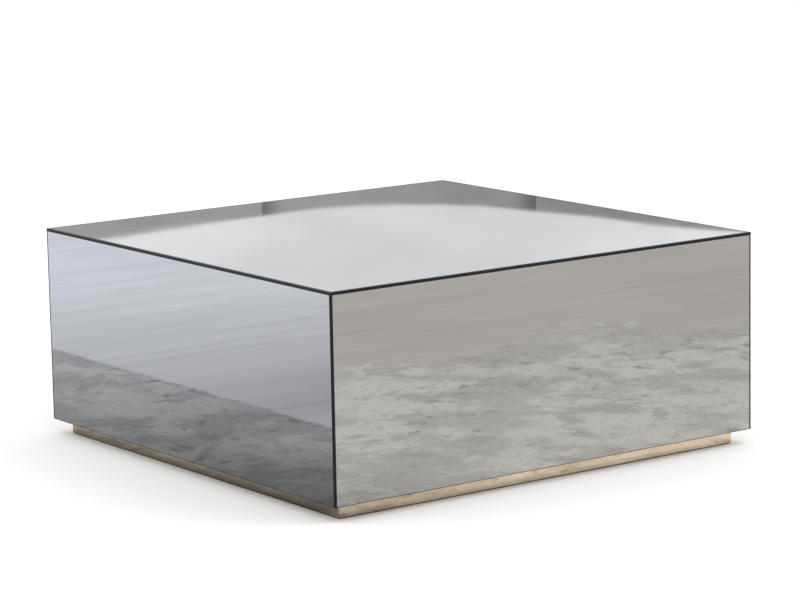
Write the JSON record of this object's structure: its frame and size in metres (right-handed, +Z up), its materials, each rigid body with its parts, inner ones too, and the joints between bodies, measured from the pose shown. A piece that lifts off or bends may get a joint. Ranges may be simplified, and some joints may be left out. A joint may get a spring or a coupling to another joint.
{
  "type": "mirrored block coffee table",
  "caption": "Low square coffee table: a closed block clad in silver mirror glass on top and all sides, on a set-back plinth with a polished champagne metal trim.",
  "frame": {"origin": "on the floor, under the middle of the square table", "axes": "+Z up, -Y is the front face, -X the left face; the picture's nearest corner is the front left one"},
  "size_m": [0.9, 0.9, 0.38],
  "materials": {
    "mirror_glass": "polished",
    "seam_sealant": "satin",
    "mirror_mastic": "matte",
    "carcass_board": "matte",
    "pine_batten": "matte",
    "zinc_screw": "satin",
    "black_board": "satin",
    "champagne_metal": "polished",
    "beech_block": "matte",
    "zinc_steel": "satin",
    "black_nylon": "matte"
  },
  "bodies": {
    "table": {"top_mirror": "mirror_glass", "front_mirror": "mirror_glass", "right_mirror": "mirror_glass", "back_mirror": "mirror_glass", "left_mirror": "mirror_glass", "top_seam": "seam_sealant", "corner_seam_front_left": "seam_sealant", "corner_seam_front_right": "seam_sealant", "corner_seam_back_right": "seam_sealant", "corner_seam_back_left": "seam_sealant", "top_mastic": "mirror_mastic", "front_mastic": "mirror_mastic", "right_mastic": "mirror_mastic", "back_mastic": "mirror_mastic", "left_mastic": "mirror_mastic", "top_panel": "carcass_board", "front_panel": "carcass_board", "right_panel": "carcass_board", "back_panel": "carcass_board", "left_panel": "carcass_board", "base_panel": "carcass_board", "rib_left_right": "carcass_board", "rib_front_back": "carcass_board", "batten_front_left": "pine_batten", "batten_front_right": "pine_batten", "batten_back_right": "pine_batten", "batten_back_left": "pine_batten", "corner_screws": "zinc_screw", "rib_screws": "zinc_screw", "top_screws": "zinc_screw", "base_screws": "zinc_screw", "plinth_rail_front": "black_board", "plinth_rail_right": "black_board", "plinth_rail_back": "black_board", "plinth_rail_left": "black_board", "plinth_trim_front_left": "champagne_metal", "plinth_trim_back_right": "champagne_metal", "plinth_screws": "zinc_screw", "foot_block_front_left": "beech_block", "foot_block_front_right": "beech_block", "foot_block_back_right": "beech_block", "foot_block_back_left": "beech_block", "block_screws": "zinc_screw", "foot_insert_front_left": "zinc_steel", "foot_insert_front_right": "zinc_steel", "foot_insert_back_right": "zinc_steel", "foot_insert_back_left": "zinc_steel"},
    "pad_front_left": {"foot_pad_front_left": "black_nylon"},
    "stem_front_left": {"foot_stem_front_left": "zinc_steel"},
    "pad_front_right": {"foot_pad_front_right": "black_nylon"},
    "stem_front_right": {"foot_stem_front_right": "zinc_steel"},
    "pad_back_right": {"foot_pad_back_right": "black_nylon"},
    "stem_back_right": {"foot_stem_back_right": "zinc_steel"},
    "pad_back_left": {"foot_pad_back_left": "black_nylon"},
    "stem_back_left": {"foot_stem_back_left": "zinc_steel"}
  },
  "joints": [
    {"name": "foot_front_left_travel", "type": "slide", "parent": "table", "child": "pad_front_left", "axis": [0, 0, -1], "range_m": [0, 0.01]},
    {"name": "foot_front_left_turn", "type": "hinge", "parent": "pad_front_left", "child": "stem_front_left", "pos_m": [-0.376, -0.376, 0.0055], "axis": [0, 0, -1], "range_deg": [0, 2880]},
    {"name": "foot_front_right_travel", "type": "slide", "parent": "table", "child": "pad_front_right", "axis": [0, 0, -1], "range_m": [0, 0.01]},
    {"name": "foot_front_right_turn", "type": "hinge", "parent": "pad_front_right", "child": "stem_front_right", "pos_m": [0.376, -0.376, 0.0055], "axis": [0, 0, -1], "range_deg": [0, 2880]},
    {"name": "foot_back_right_travel", "type": "slide", "parent": "table", "child": "pad_back_right", "axis": [0, 0, -1], "range_m": [0, 0.01]},
    {"name": "foot_back_right_turn", "type": "hinge", "parent": "pad_back_right", "child": "stem_back_right", "pos_m": [0.376, 0.376, 0.0055], "axis": [0, 0, -1], "range_deg": [0, 2880]},
    {"name": "foot_back_left_travel", "type": "slide", "parent": "table", "child": "pad_back_left", "axis": [0, 0, -1], "range_m": [0, 0.01]},
    {"name": "foot_back_left_turn", "type": "hinge", "parent": "pad_back_left", "child": "stem_back_left", "pos_m": [-0.376, 0.376, 0.0055], "axis": [0, 0, -1], "range_deg": [0, 2880]}
  ],
  "couplings": [
    {"joint": "foot_front_left_turn", "follows": "foot_front_left_travel", "rad_per_m": 5026.5},
    {"joint": "foot_front_right_turn", "follows": "foot_front_right_travel", "rad_per_m": 5026.5},
    {"joint": "foot_back_right_turn", "follows": "foot_back_right_travel", "rad_per_m": 5026.5},
    {"joint": "foot_back_left_turn", "follows": "foot_back_left_travel", "rad_per_m": 5026.5}
  ]
}
